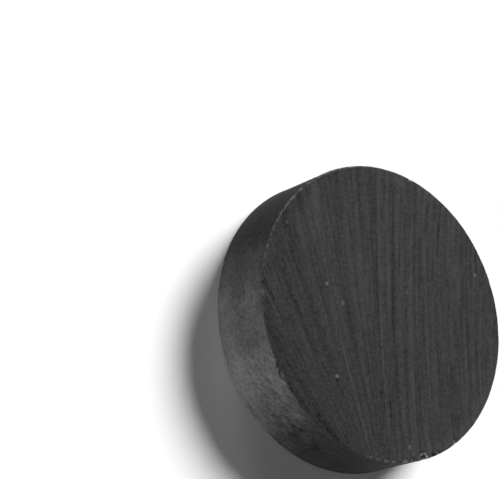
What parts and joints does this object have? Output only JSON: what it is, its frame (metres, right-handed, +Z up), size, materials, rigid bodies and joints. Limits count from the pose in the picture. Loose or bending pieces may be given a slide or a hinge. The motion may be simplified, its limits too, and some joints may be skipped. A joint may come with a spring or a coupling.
{
  "type": "ferrite disc magnet",
  "caption": "Flat round ferrite magnet with ground pole faces and an as-sintered wall; it holds to steel or sits in a round pocket.",
  "frame": {"origin": "centre of the lower pole face, which the disc lies on", "axes": "+Z up along the disc's axis, out of the ground pole face that the picture shows; +Y along the run of that face's grinding marks"},
  "size_m": [0.02, 0.02, 0.005],
  "materials": {
    "ferrite": "matte"
  },
  "bodies": {
    "root": {"magnet_disc": "ferrite"}
  },
  "joints": []
}
